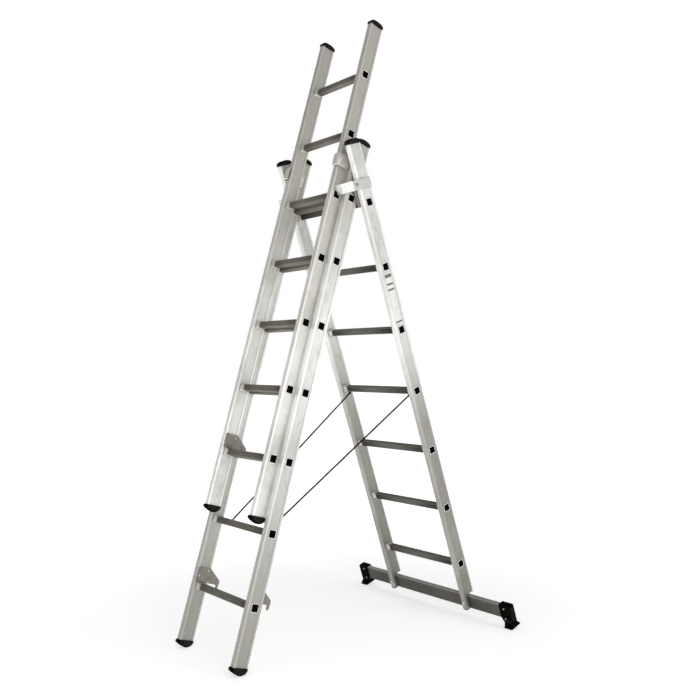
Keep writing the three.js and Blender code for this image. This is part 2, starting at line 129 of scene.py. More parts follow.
class Look:
    """A procedural material built up node by node, placed in a section's own frame or in the object's."""

    def __init__(self, name, section=None):
        self.material = bpy.data.materials.new(name)
        self.material.use_nodes = True
        self.tree = self.material.node_tree
        self.shader = self.tree.nodes["Principled BSDF"]
        coord = self.tree.nodes.new("ShaderNodeTexCoord")
        self.place = coord.outputs["Object"]
        if section is not None:
            shift = self.add("ShaderNodeVectorMath", operation="SUBTRACT")
            self.join(self.place, shift.inputs[0])
            shift.inputs[1].default_value = section["origin"]
            turn = self.add("ShaderNodeVectorRotate", rotation_type="X_AXIS")
            self.join(shift.outputs[0], turn.inputs["Vector"])
            turn.inputs["Angle"].default_value = -section["tilt"]
            self.place = turn.outputs[0]
        self.axes = self.add("ShaderNodeSeparateXYZ")
        self.join(self.place, self.axes.inputs[0])

    def add(self, kind, **settings):
        """Adds a node and sets its own options."""
        node = self.tree.nodes.new(kind)
        for key, value in settings.items():
            setattr(node, key, value)
        return node

    def join(self, source, target):
        self.tree.links.new(source, target)

    def math(self, operation, a, b=None, c=None):
        """Arithmetic on numbers and sockets."""
        node = self.add("ShaderNodeMath", operation=operation)
        for value, socket in zip((a, b, c), node.inputs):
            if value is None:
                continue
            if isinstance(value, (int, float)):
                socket.default_value = value
            else:
                self.join(value, socket)
        return node.outputs[0]

    def noise(self, scale, stretch=(1, 1, 1), detail=3, rough=0.55, offset=0.0):
        mapping = self.add("ShaderNodeMapping")
        mapping.inputs["Scale"].default_value = stretch
        mapping.inputs["Location"].default_value = (offset, offset, offset)
        self.join(self.place, mapping.inputs["Vector"])
        node = self.add("ShaderNodeTexNoise")
        node.inputs["Scale"].default_value = scale
        node.inputs["Detail"].default_value = detail
        node.inputs["Roughness"].default_value = rough
        self.join(mapping.outputs[0], node.inputs["Vector"])
        return node.outputs[0]

    def span(self, value, low, high, out_low=0.0, out_high=1.0):
        """A smooth step between two outputs as the value goes from low to high."""
        node = self.add("ShaderNodeMapRange")
        node.interpolation_type = "SMOOTHSTEP"
        self.join(value, node.inputs[0])
        for socket, number in zip(list(node.inputs)[1:5], (low, high, out_low, out_high)):
            socket.default_value = number
        return node.outputs[0]

    def mix(self, factor, a, b):
        """Colour a where the factor is 0, colour b where it is 1."""
        node = self.add("ShaderNodeMix", data_type="RGBA")
        colours = [s for s in node.inputs if s.type == "RGBA"]
        self.join(factor, node.inputs[0])
        for value, socket in zip((a, b), colours):
            if isinstance(value, tuple):
                socket.default_value = (*value, 1)
            else:
                self.join(value, socket)
        return [s for s in node.outputs if s.type == "RGBA"][0]

    def bump(self, height, distance, strength, under=None):
        node = self.add("ShaderNodeBump")
        node.inputs["Strength"].default_value = strength
        node.inputs["Distance"].default_value = distance
        self.join(height, node.inputs["Height"])
        if under is not None:
            self.join(under, node.inputs["Normal"])
        return node.outputs[0]

    def cavity(self, reach):
        """1 in the open, lower in corners and grooves within reach of another face; the looks darken colour
        by it as painted shade.
        """
        node = self.add("ShaderNodeAmbientOcclusion", samples=4)
        node.inputs["Distance"].default_value = reach
        return node.outputs["AO"]

    def finish(self, colour, roughness, normal, metallic=0.0, specular=None):
        self.join(colour, self.shader.inputs["Base Color"])
        if isinstance(roughness, (int, float)):
            self.shader.inputs["Roughness"].default_value = roughness
        else:
            self.join(roughness, self.shader.inputs["Roughness"])
        self.join(normal, self.shader.inputs["Normal"])
        self.shader.inputs["Metallic"].default_value = metallic
        if specular is not None:
            self.shader.inputs["Specular IOR Level"].default_value = specular
        return self.material


def stile_look(part, foot, middle, head, lower_shading_span, upper_shading_span):
    """Extruded aluminium: die lines, cloudy web, scuffs and handling marks, with painted light and shade: a
    painted highlight on the beads, painted shade at the bead edges and in corners, and colour that changes
    up the stile as painted light.
    """
    look = Look(f"{part['prefix']}_stile_aluminium", part)
    lines = look.noise(900, (1, 1, 0.006), detail=4)
    cloud = look.noise(7, (1, 1, 0.6), detail=6, rough=0.62)
    smudge = look.noise(34, (1, 1, 0.45), detail=4, offset=3.1)
    grain = look.noise(1500, detail=2)
    scratch = look.span(look.noise(260, (1, 1, 0.03), detail=2, offset=7.7), 0.67, 0.72)
    depth = look.math("ABSOLUTE", look.axes.outputs["Y"])
    bead = look.span(depth, BEAD_START, BEAD_FULL)
    # Painted light and shade: the colour runs from the foot colour through the middle one to the head colour
    # up the stile.
    low = look.span(look.axes.outputs["Z"], *lower_shading_span)
    high = look.span(look.axes.outputs["Z"], *upper_shading_span)
    base = look.mix(high, look.mix(low, foot, middle), head)
    base = look.mix(look.span(cloud, 0.38, 0.66, 0.0, 0.5), base, (0.43, 0.43, 0.385))
    base = look.mix(look.span(smudge, 0.56, 0.74, 0.0, 0.35), base, (0.36, 0.34, 0.30))
    # Painted shade: a thin dark line where each bead rises from the web.
    off_edge = look.math("ABSOLUTE", look.math("SUBTRACT", depth, BEAD_EDGE))
    edge = look.span(off_edge, 0.0002, 0.0013, 0.55, 0.0)
    # Painted highlight: the beads are made brighter than the web, standing in for light off their rounded
    # faces.
    lift = look.add("ShaderNodeHueSaturation")
    look.join(base, lift.inputs["Color"])
    look.join(look.span(bead, 0, 1, 1.0, 1.22), lift.inputs["Value"])
    base = look.mix(edge, lift.outputs[0], (0.24, 0.23, 0.20))
    base = look.mix(look.math("MULTIPLY", scratch, 0.3), base, (0.93, 0.93, 0.91))
    # Painted shade: darker in corners and grooves where other faces are close.
    base = look.mix(look.span(look.cavity(0.012), 0.35, 0.9, 0.75, 0.0), base, (0.20, 0.18, 0.155))
    rough = look.math("MULTIPLY_ADD", smudge, 0.22, look.span(bead, 0, 1, 0.42, 0.27))
    rough = look.math("MULTIPLY_ADD", lines, 0.08, rough)
    normal = look.bump(lines, 0.00012, 0.55)
    normal = look.bump(grain, 0.00003, 0.3, normal)
    normal = look.bump(scratch, 0.00006, 0.4, normal)
    return look.finish(base, rough, normal, metallic=0.42)


def rung_look(part):
    """Darker ribbed extrusion with foot wear along the middle and painted shade in the ribs."""
    look = Look(f"{part['prefix']}_rung_aluminium", part)
    lines = look.noise(800, (0.006, 1, 1), detail=3)
    cloud = look.noise(11, (0.7, 1, 1), detail=5)
    wear = look.span(look.math("ABSOLUTE", look.axes.outputs["X"]), 0.03, part["half"] * 0.8, 0.32, 0.0)
    turns = look.math("MULTIPLY_ADD", look.axes.outputs["Z"], 1 / RUNG_PITCH, 0.5)
    height = look.math("MULTIPLY_ADD", look.math("FRACT", turns), RUNG_PITCH, -RUNG_PITCH / 2)
    tread = look.span(height, TREAD_LOW, TREAD_HIGH, 0.0, 0.50)
    tread = look.math("MULTIPLY", tread, look.span(cloud, 0.25, 0.6, 0.7, 1.0))
    # The section's shade scales these colours; the rear section's low value is painted shade on its rungs.
    pale = shaded((0.168, 0.152, 0.119), part["shade"])
    dark = shaded((0.108, 0.096, 0.071), part["shade"])
    base = look.mix(look.span(cloud, 0.35, 0.68), pale, dark)
    base = look.mix(tread, base, (0.405, 0.385, 0.335))
    base = look.mix(look.math("MULTIPLY", wear, lines), base, (0.58, 0.56, 0.52))
    # Painted shade: darker in the ribs and corners where other faces are close.
    base = look.mix(look.span(look.cavity(0.004), 0.3, 0.95, 0.8, 0.0), base, (0.075, 0.065, 0.055))
    rough = look.math("MULTIPLY_ADD", cloud, 0.2, 0.36)
    normal = look.bump(lines, 0.0001, 0.5)
    return look.finish(base, rough, normal, metallic=0.6)


def swage_look(part):
    """The rung's pressed ends, bright where the tool has drawn the metal."""
    look = Look(f"{part['prefix']}_swage_aluminium", part)
    drawn = look.noise(420, (1, 1, 1), detail=3)
    cloud = look.noise(60, detail=3, offset=2.2)
    base = look.mix(look.span(cloud, 0.35, 0.65), (0.80, 0.79, 0.76), (0.62, 0.60, 0.56))
    # Painted shade: darker in corners where other faces are close.
    base = look.mix(look.span(look.cavity(0.005), 0.3, 0.9, 0.6, 0.0), base, (0.22, 0.20, 0.17))
    rough = look.math("MULTIPLY_ADD", drawn, 0.2, 0.22)
    return look.finish(base, rough, look.bump(drawn, 0.00008, 0.5), metallic=0.62)


def rim_look(part):
    """The flared rim in the outer web, polished by the tool that turns it over."""
    look = Look(f"{part['prefix']}_rim_aluminium", part)
    turned_marks = look.noise(520, detail=3)
    nick = look.noise(140, detail=3, offset=5.5)
    base = look.mix(look.span(nick, 0.42, 0.7), (0.97, 0.97, 0.96), (0.80, 0.79, 0.77))
    # Painted shade: darker in corners where other faces are close.
    base = look.mix(look.span(look.cavity(0.003), 0.3, 0.9, 0.5, 0.0), base, (0.30, 0.28, 0.25))
    rough = look.math("MULTIPLY_ADD", turned_marks, 0.15, 0.24)
    return look.finish(base, rough, look.bump(turned_marks, 0.00006, 0.5), metallic=0.25)


def bar_look():
    """The stabiliser bar: olive-grey mill finish, paler along its top edge."""
    look = Look("bar_aluminium", REAR)
    lines = look.noise(700, (0.005, 1, 1), detail=4)
    cloud = look.noise(9, (0.6, 1, 1), detail=6)
    mark = look.span(look.noise(120, (0.1, 1, 1), detail=3, offset=5.0), 0.62, 0.72)
    top = look.span(look.axes.outputs["Z"], BAR_TOP_LOW, BAR_TOP_HIGH)
    base = look.mix(look.span(cloud, 0.32, 0.7), (0.092, 0.086, 0.072), (0.060, 0.056, 0.047))
    base = look.mix(look.math("MULTIPLY", top, 0.75), base, (0.60, 0.58, 0.53))
    base = look.mix(look.math("MULTIPLY", mark, 0.10), base, (0.52, 0.50, 0.45))
    rough = look.math("MULTIPLY_ADD", cloud, 0.2, 0.34)
    return look.finish(base, rough, look.bump(lines, 0.0001, 0.5), metallic=0.6)


def steel_look(name, light, dark, part):
    """Zinc-plated pressed steel: spangle, stains and a fine tooth."""
    look = Look(name, part)
    spangle = look.add("ShaderNodeTexVoronoi")
    spangle.inputs["Scale"].default_value = 210
    look.join(look.place, spangle.inputs["Vector"])
    stain = look.noise(48, detail=5, rough=0.6)
    tooth = look.noise(1300, detail=2)
    base = look.mix(look.span(spangle.outputs["Distance"], 0.0, 0.7, 0.25, 0.65), light, dark)
    base = look.mix(look.span(stain, 0.5, 0.72, 0.0, 0.6), base, shaded(dark, 0.6))
    # Painted shade: darker in corners and recesses where other faces are close.
    base = look.mix(look.span(look.cavity(0.006), 0.3, 0.9, 0.6, 0.0), base, (0.10, 0.09, 0.08))
    rough = look.math("MULTIPLY_ADD", stain, 0.25, 0.28)
    return look.finish(base, rough, look.bump(tooth, 0.00005, 0.45), metallic=0.7)


def guide_look():
    """Pressed alloy plate, pale, with a painted shadow line along the top of its rolled lower rim."""
    look = Look("guide_alloy", FRONT)
    cloud = look.noise(40, detail=4, rough=0.6)
    brushed = look.noise(700, (0.02, 0.02, 1), detail=3)
    base = look.mix(look.span(cloud, 0.35, 0.7), (0.82, 0.80, 0.75), (0.62, 0.60, 0.55))
    above = look.math("SUBTRACT", look.axes.outputs["Z"], GUIDE_ROLL_LINE)
    # Painted shadow: a dark line along the top of the rolled rim.
    rim_shadow = look.span(look.math("ABSOLUTE", above), 0.0006, 0.0022, 0.88, 0.0)
    base = look.mix(rim_shadow, base, (0.085, 0.078, 0.066))
    # Painted shade: darker in corners where other faces are close.
    base = look.mix(look.span(look.cavity(0.006), 0.3, 0.9, 0.6, 0.0), base, (0.12, 0.11, 0.095))
    rough = look.math("MULTIPLY_ADD", cloud, 0.2, 0.34)
    return look.finish(base, rough, look.bump(brushed, 0.00006, 0.5), metallic=0.45)


def plastic_look(name, colour, worn, rough_low):
    """Moulded black plastic with a fine spark texture, scuffs and dust."""
    look = Look(name)
    spark = look.noise(1100, detail=3)
    scuff = look.span(look.noise(90, detail=4, offset=1.3), 0.56, 0.76)
    dust = look.noise(14, detail=3, offset=8.0)
    base = look.mix(look.math("MULTIPLY", scuff, 0.5), colour, worn)
    base = look.mix(look.span(dust, 0.45, 0.7, 0.0, 0.12), base, shaded(worn, 1.8))
    rough = look.math("MULTIPLY_ADD", spark, 0.25, rough_low)
    return look.finish(base, rough, look.bump(spark, 0.00015, 0.5), specular=0.03)


def cord_look():
    """Braided polyester: two sets of crossing strands with a little fuzz."""
    look = Look("cord_braid")
    strand = look.noise(1400, detail=2)
    fuzz = look.noise(300, detail=4, offset=4.0)
    base = look.mix(look.span(fuzz, 0.35, 0.7), (0.006, 0.005, 0.004), (0.017, 0.014, 0.011))
    rough = look.math("MULTIPLY_ADD", strand, 0.15, 0.74)
    return look.finish(base, rough, look.bump(strand, 0.0002, 0.6), specular=0.08)


def floor_look():
    """Pale floor with a painted glow that brightens away from the ladder, until it meets the white backdrop.
    """
    look = Look("floor_pale")
    speck = look.noise(60, detail=5)
    base = look.mix(look.span(speck, 0.3, 0.7), (0.93, 0.93, 0.93), (0.95, 0.95, 0.95))
    look.shader.inputs["Emission Color"].default_value = (1, 1, 1, 1)
    away = look.add("ShaderNodeVectorMath", operation="LENGTH")
    look.join(look.place, away.inputs[0])
    glow = look.span(away.outputs["Value"], 0.6, 3.5, 0.55, 0.98)
    look.join(glow, look.shader.inputs["Emission Strength"])
    return look.finish(base, 0.75, look.bump(speck, 0.0001, 0.1), specular=0.1)


# Each stile's foot, middle and head colours, with the spans between them, are painted light and shade along
# its length.
STILES = {
    "rear": stile_look(
        REAR, (0.265, 0.255, 0.23), (0.35, 0.34, 0.31), (0.76, 0.76, 0.73), (-0.2, 0.9), (0.62, 1.10),
    ),
    "front": stile_look(
        FRONT, (0.38, 0.37, 0.34), (0.88, 0.89, 0.86), (0.52, 0.51, 0.47), (-0.2, 1.10), (1.30, 1.75),
    ),
    "ext": stile_look(
        UPPER, (0.90, 0.90, 0.87), (0.80, 0.785, 0.745), (0.47, 0.45, 0.41), (-0.2, 0.9), (0.6, 1.6),
    ),
}
RUNGS = {part["prefix"]: rung_look(part) for part in SECTIONS}
SWAGES = {part["prefix"]: swage_look(part) for part in SECTIONS}
RIMS = {part["prefix"]: rim_look(part) for part in SECTIONS}
BAR = bar_look()
ZINC_LIGHT = (0.33, 0.31, 0.275)
ZINC_DARK = (0.20, 0.185, 0.160)
STEEL = {
    part["prefix"]: steel_look(f"{part['prefix']}_zinc_steel", ZINC_LIGHT, ZINC_DARK, part)
    for part in SECTIONS
}
BRIGHT = steel_look("strap_zinc_steel", (0.82, 0.81, 0.79), (0.68, 0.67, 0.64), REAR)
BOLT = steel_look("bolt_zinc_steel", (0.42, 0.41, 0.39), (0.26, 0.25, 0.235), REAR)
GUIDE = guide_look()
BLACK = plastic_look("cap_plastic", (0.0016, 0.0015, 0.0014), (0.0042, 0.0040, 0.0037), 0.46)
RUBBER = plastic_look("boot_rubber", (0.0015, 0.0014, 0.0012), (0.0040, 0.0038, 0.0034), 0.58)
# Painted highlight: the ribs of caps, feet and boots get a grey colour standing in for light catching them.
RIB_HIGHLIGHT = plastic_look("rib_plastic_painted_highlight", (0.040, 0.038, 0.034), (0.110, 0.105, 0.095), 0.5)
BRAID = cord_look()

# ----------------------------------------------------------- mesh and pieces


def new_piece(name, mesh, looks, smooth):
    """Turns a bmesh into an object, sharp at edges that turn by more than an angle in degrees."""
    data = bpy.data.meshes.new(name)
    mesh.to_mesh(data)
    mesh.free()
    for look in looks:
        data.materials.append(look)
    data.shade_smooth()
    data.set_sharp_from_angle(angle=math.radians(smooth))
    piece = bpy.data.objects.new(name, data)
    bpy.context.scene.collection.objects.link(piece)
    return piece


def emit(name, mesh, part, looks, smooth=35, replaces=()):
    """Makes a piece out of a bmesh in a section's own frame, riding with that section."""
    bmesh.ops.recalc_face_normals(mesh, faces=mesh.faces)
    mesh.transform(part["matrix"])
    piece = new_piece(name, mesh, looks, smooth)
    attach(piece, part["body"])
    if replaces:
        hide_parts(*replaces)


def bridge(mesh, lower, upper, material):
    """Joins two rings of vertices with a band of faces."""
    count = len(lower)
    for i in range(count):
        j = (i + 1) % count
        face = mesh.faces.new((lower[i], lower[j], upper[j], upper[i]))
        face.material_index = material


def loft(mesh, rings, material=0, close_start=True, close_end=True):
    """Skins a list of equal rings of points."""
    rows = [[mesh.verts.new(p) for p in ring] for ring in rings]
    for lower, upper in zip(rows, rows[1:]):
        bridge(mesh, lower, upper, material)
    if close_start:
        mesh.faces.new(rows[0][::-1]).material_index = material
    if close_end:
        mesh.faces.new(rows[-1]).material_index = material


def rounded(half_a, half_b, radius, steps):
    """Points of a rounded rectangle about zero."""
    points = []
    for corner in range(4):
        ca = (half_a - radius) * (1 if corner in (0, 3) else -1)
        cb = (half_b - radius) * (1 if corner < 2 else -1)
        for k in range(steps + 1):
            angle = (corner + k / steps) * math.pi / 2
            points.append((ca + radius * math.cos(angle), cb + radius * math.sin(angle)))
    return points


def turned(mesh, profile, matrix, steps):
    """A turned part: profile is (radius, height) pairs from one end to the other."""
    rings = []
    for radius, height in profile:
        ring = []
        for k in range(steps):
            angle = k / steps * 2 * math.pi
            ring.append(matrix @ Vector((radius * math.cos(angle), radius * math.sin(angle), height)))
        rings.append(ring)
    loft(mesh, rings)


def facing(x, y, z, direction):
    """Matrix of a turned part at a point, with its height along a direction."""
    turn = Vector(direction).to_track_quat("Z", "Y").to_matrix().to_4x4()
    return Matrix.Translation((x, y, z)) @ turn


def dome(radius, height, steps=6):
    """Profile of a low rounded head."""
    profile = [(radius, 0.0)]
    for k in range(1, steps):
        angle = k / steps * math.pi / 2
        profile.append((radius * math.cos(angle), height * math.sin(angle)))
    profile.append((radius * 0.05, height))
    return profile


# -------------------------------------------------------------------- rungs

RUNG_HALF = 0.0135
RUNG_WALL = 0.0016
RUNG_CORNER = 0.0042
CORNER_STEPS = 6
RIB_COUNT = 7
RIB_DEPTH = 0.0006
# Share of a rib's pitch, and whether the outline is down in the groove there.
RIB_STEPS = ((0.06, 0), (0.34, 0), (0.5, 1), (0.84, 1))

# The pressed end: place along the rung from the web's inner face, and size against the tube.
SWAGE_LENGTH = 0.021
SWAGE_STEPS = (
    (-0.0140, 1.022), (-0.0085, 1.055), (-0.0048, 1.11), (-0.0030, 1.18), (-0.0018, 1.235),
    (-0.0008, 1.245), (0.0004, 1.24), (0.0012, 1.18), (0.0014, 0.995),
)
# The rim turned over the web's outer face, from that face.
RIM_STEPS = (
    (-0.0013, 0.995), (-0.0012, 1.24), (-0.0007, 1.29), (-0.0001, 1.285),
    (0.0003, 1.23), (0.0002, 1.10), (-0.0006, 0.94),
)
RIM_BAND = 0.00125


def ribbed_outline():
    """Square tube with treads on its upper and lower faces and fine lines on its sides."""
    reach = RUNG_HALF - RUNG_CORNER
    points = []
    for side in range(4):
        turn = side * math.pi / 2
        run = []
        depth = RIB_DEPTH if side % 2 == 1 else RIB_DEPTH * 0.5
        for k in range(RIB_COUNT):
            for share, cut in RIB_STEPS:
                along = -reach + (k + share) / RIB_COUNT * 2 * reach
                run.append((RUNG_HALF - cut * depth, along))
        for k in range(1, CORNER_STEPS):
            angle = k / CORNER_STEPS * math.pi / 2
            run.append((reach + RUNG_CORNER * math.cos(angle), reach + RUNG_CORNER * math.sin(angle)))
        for a, b in run:
            points.append((a * math.cos(turn) - b * math.sin(turn), a * math.sin(turn) + b * math.cos(turn)))
    return points


def scaled_ring(outline, x, size, height):
    """The outline at a place along the rung, swollen about its centre."""
    return [(x, a * size, height + b * size) for a, b in outline]


def make_rung(part, index):
    """Ribbed tube, with a plain pressed end through each stile."""
    half = part["half"]
    height = index * RUNG_PITCH
    outline = ribbed_outline()
    plain = rounded(RUNG_HALF, RUNG_HALF, 0.0045, 5)
    inner = half - STILE_THICK
    mesh = bmesh.new()
    neck = inner - SWAGE_LENGTH
    body = [scaled_ring(outline, x, 1.0, height) for x in (-neck, -neck / 2, 0, neck / 2, neck)]
    loft(mesh, body, 0, False, False)
    bore = rounded(RUNG_HALF - RUNG_WALL, RUNG_HALF - RUNG_WALL, 0.0029, 5)
    swell = [(neck - 0.0004, 0.992), (neck, 1.008)]
    swell += [(inner + step, size) for step, size in SWAGE_STEPS]
    swell += [(half + step, size) for step, size in RIM_STEPS]
    for sign in (-1, 1):
        rings = [scaled_ring(plain, sign * x, size, height) for x, size in swell]
        rings += [scaled_ring(bore, sign * x, 1.0, height) for x in (half - 0.0015, half - 0.012)]
        loft(mesh, rings, 1, False, True)
    for face in mesh.faces:
        if abs(face.calc_center_median().x) > half - RIM_BAND:
            face.material_index = 2
    looks = (RUNGS[part["prefix"]], SWAGES[part["prefix"]], RIMS[part["prefix"]])
    node = f"{part['prefix']}_rung_{index + 1}"
    emit(f"{node}_ribbed", mesh, part, looks, smooth=28, replaces=(node,))


PLUG_SINK = 0.0004
# Place along the rung, half width and corner radius of the plug, from its spigot to its sunk face.
PLUG_STEPS = (
    (-0.011, 0.0112, 0.0024), (-0.0006, 0.0117, 0.0026), (-0.0003, 0.0146, 0.0030), (0.0004, 0.0149, 0.0032),
    (0.0009, 0.0146, 0.0030), (0.0009, 0.0112, 0.0020), (-0.0026, 0.0104, 0.0016),
)


def make_plug(part, index, side, sign):
    """Pressed-in end plug with a lip, a sunk face and a cross rib."""
    face = part["half"] - PLUG_SINK
    height = index * RUNG_PITCH
    mesh = bmesh.new()
    rings = []
    for depth, reach, radius in PLUG_STEPS:
        outline = rounded(reach, reach, radius, 3)
        rings.append([(sign * (face + depth), a, height + b) for a, b in outline])
    loft(mesh, rings)
    for wide, tall in ((0.0009, 0.0102), (0.0102, 0.0009)):
        ribs = []
        for depth in (-0.0028, -0.0002):
            outline = rounded(wide, tall, 0.0004, 1)
            ribs.append([(sign * (face + depth), a, height + b) for a, b in outline])
        loft(mesh, ribs)
    emit(f"{part['prefix']}_rung_plug_{index + 1}_{side}", mesh, part, (BLACK,))


for part in SECTIONS:
    for index in range(RUNG_COUNT):
        make_rung(part, index)
        for side, sign in SIDES:
            make_plug(part, index, side, sign)

# --------------------------------------------------------------- end caps
# A profile's points are places through the stile and heights from its cut end. The
# arch is half of one, from its rear edge to its crown.

TOP_ARCH = [
    (0.0336, 0.0003), (0.0345, 0.0060), (0.0344, 0.0110), (0.0304, 0.0158),
    (0.0225, 0.0192), (0.0120, 0.0213), (0.0, 0.0220),
]
FOOT_PROFILE = [
    (-0.0332, -0.0003), (-0.0385, -0.0080), (-0.0370, -0.0120), (-0.0270, -0.0190), (-0.0090, -0.0265),
    (0.0010, -0.0290), (0.0110, -0.0275), (0.0230, -0.0220), (0.0310, -0.0150), (0.0334, -0.0070),
    (0.0332, -0.0003),
]
TOP_FACE = 0.0148
FOOT_FACE = 0.0143
SPIGOT_ROOT = (0.0080, 0.0290)
SPIGOT_TIP = (0.0074, 0.0284)
SPIGOT_LENGTH = 0.012

# Grooves: points along the profile this far apart, and in every nine of them three are sunk.
GROOVE_STEP = 0.0009
GROOVE_EVERY = 9
GROOVE_WIDE = 3

# Share of the half width, and how much of the profile's size is left there.
SIDE_STEPS = (
    (-1, 0.93), (-0.975, 0.965), (-0.93, 0.99), (-0.86, 1.0),
    (0.86, 1.0), (0.93, 0.99), (0.975, 0.965), (1, 0.93),
)
SKIRT_SHARE = 0.3

RIB_SPACING = 0.0086
RIB_HALF = 0.0016
RIB_REACH = 3
# Height of a rib's rings off the face, and how much each is drawn in.
FLANK_RIB = ((-0.0012, 0.0), (0.0006, 0.0), (0.0010, 0.0006))
END_RIB = ((-0.0012, 0.0), (0.0005, 0.0), (0.0009, 0.0006))


def toothed(profile, centre, tooth, where):
    """Dense points along a profile, with small grooves cut towards a centre wherever the test holds."""
    dense = []
    for (y0, z0), (y1, z1) in zip(profile, profile[1:]):
        pieces = max(1, round(math.hypot(y1 - y0, z1 - z0) / GROOVE_STEP))
        for k in range(pieces):
            dense.append((y0 + (y1 - y0) * k / pieces, z0 + (z1 - z0) * k / pieces))
    dense.append(profile[-1])
    points = []
    for i, (y, z) in enumerate(dense):
        point = Vector((y, z))
        sunk = i % GROOVE_EVERY < GROOVE_WIDE and where(y, z)
        away = (point - centre).normalized() * (tooth if sunk else 0.0)
        points.append((y - away.x, z - away.y))
    return points


def make_moulding(mesh, middle, end, points, centre, half_x, keep):
    """Carries a profile across the stile, drawn in at both sides, and less so within keep of its cut end."""
    rows = []
    for x, shrink in SIDE_STEPS:
        row = []
        for y, z in points:
            deep = abs(z) > keep
            py = centre.x + (y - centre.x) * (shrink if deep else 1 - (1 - shrink) * SKIRT_SHARE)
            pz = centre.y + (z - centre.y) * shrink if deep else z
            row.append((middle + x * half_x, py, end + pz))
        rows.append(row)
    loft(mesh, rows)


def make_spigot(mesh, middle, near, far):
    """The part of a cap that is pushed into the stile."""
    near_ring = [(middle + a, b, near) for a, b in rounded(*SPIGOT_ROOT, 0.002, 3)]
    far_ring = [(middle + a, b, far) for a, b in rounded(*SPIGOT_TIP, 0.002, 3)]
    loft(mesh, [near_ring, far_ring])


def outermost(profile, y):
    """Height of a profile where it is furthest from the cut end, at a place through the stile."""
    best = 0.0
    for (y0, z0), (y1, z1) in zip(profile, profile[1:]):
        if y0 != y1 and min(y0, y1) <= y <= max(y0, y1):
            z = z0 + (z1 - z0) * (y - y0) / (y1 - y0)
            best = z if abs(z) > abs(best) else best
    return best


def make_flank_ribs(mesh, middle, end, profile, face_x, start, trim):
    """Small upright ribs down both flanks of a cap, each stopping short of its edge."""
    for step in range(-RIB_REACH, RIB_REACH + 1):
        y = step * RIB_SPACING
        tip = outermost(profile, y) * trim
        if abs(tip - start) < 0.004:
            continue
        for flank in (-1, 1):
            rings = []
            for lift, grow in FLANK_RIB:
                x = middle + flank * (face_x + lift)
                low, high = sorted((start, tip))
                low, high = low + grow, high - grow
                wide = RIB_HALF - grow
                ring = [(x, y - wide, low), (x, y + wide, low), (x, y + wide, high), (x, y - wide, high)]
                rings.append([(a, b, end + c) for a, b, c in ring])
            loft(mesh, rings, 1)


def make_end_ribs(mesh, middle, end, edge, start, tip):
    """Upright ribs on the narrow front and rear ends of a cap."""
    for step in (-1, 0, 1):
        for way in (-1, 1):
            rings = []
            for lift, grow in END_RIB:
                y = way * (edge + lift)
                x = middle + step * RIB_SPACING * 0.85
                wide = RIB_HALF - grow
                low, high = start + grow, tip - grow
                ring = [(x - wide, low), (x + wide, low), (x + wide, high), (x - wide, high)]
                rings.append([(a, y, end + c) for a, c in ring])
            loft(mesh, rings, 1)


def make_top_cap(part, side, sign):
    """Arched cap over the stile's head, with small grooves across it."""
    middle = sign * (part["half"] - STILE_THICK / 2)
    end = part["head"]
    profile = TOP_ARCH + [(-y, z) for y, z in reversed(TOP_ARCH[:-1])]
    centre = Vector((0.0, 0.002))
    points = toothed(profile, centre, 0.0015, lambda y, z: z > 0.0115)
    mesh = bmesh.new()
    make_moulding(mesh, middle, end, points, centre, TOP_FACE, 0.002)
    make_flank_ribs(mesh, middle, end, profile, TOP_FACE, 0.0015, 0.72)
    make_end_ribs(mesh, middle, end, 0.0343, 0.0020, 0.0098)
    make_spigot(mesh, middle, end + 0.001, end - SPIGOT_LENGTH)
    node = f"{part['prefix']}_top_cap_{side}"
    emit(f"{node}_moulded", mesh, part, (BLACK, RIB_HIGHLIGHT), smooth=40, replaces=(node,))


def make_foot(part, side, sign):
    """Foot cap: flared skirt and a curved tread cut by cross grooves."""
    middle = sign * (part["half"] - STILE_THICK / 2)
    end = -part["foot"]
    centre = Vector((0.0, -0.006))
    points = toothed(FOOT_PROFILE, centre, 0.0018, lambda y, z: z < -0.010)
    mesh = bmesh.new()
    make_moulding(mesh, middle, end, points, centre, FOOT_FACE, 0.004)
    make_flank_ribs(mesh, middle, end, FOOT_PROFILE, FOOT_FACE, -0.0020, 0.80)
    make_spigot(mesh, middle, end - 0.001, end + SPIGOT_LENGTH)
    node = f"{part['prefix']}_foot_{side}"
    emit(f"{node}_tread", mesh, part, (RUBBER, RIB_HIGHLIGHT), smooth=40, replaces=(node,))


for part in SECTIONS:
    for side, sign in SIDES:
        make_top_cap(part, side, sign)
for part in (FRONT, UPPER):
    for side, sign in SIDES:
        make_foot(part, side, sign)

# ------------------------------------------------------ rivets, heads, plugs
# Hook rivets are placed through and up the section, boot rivets outwards and up it.

HOOK_RIVETS = {"front": ((-0.020, 0.042), (0.022, 0.066)), "ext": ((-0.024, 0.033), (0.021, 0.062))}
HOOK_THICK = 0.0033
BOOT_RIVETS = ((0.472, -0.170), (0.470, -0.220))
BOOT_RIVET_FACE = -0.0159
STRAP_FACE = 0.2603
STRAP_LEVEL = 1.7608
STRAP_BOLT = -0.0468
STRAP_RIVET = 0.0180


def make_rivet(name, part, x, y, z, direction, radius=0.0036, height=0.0016, look=None):
    """Low domed head facing a direction, in the bright look of the pressed ends unless it has its own."""
    mesh = bmesh.new()
    turned(mesh, dome(radius, height), facing(x, y, z, direction), 20)
    emit(name, mesh, part, (look or SWAGES[part["prefix"]],), smooth=50)


for part in (FRONT, UPPER):
    for side, sign in SIDES:
        for k, (y, z) in enumerate(HOOK_RIVETS[part["prefix"]]):
            inside = part["half"] - STILE_THICK - HOOK_THICK
            name = f"{part['prefix']}_hook_rivet_{k + 1}_{side}"
            make_rivet(name, part, sign * inside, y, z, (-sign, 0, 0))

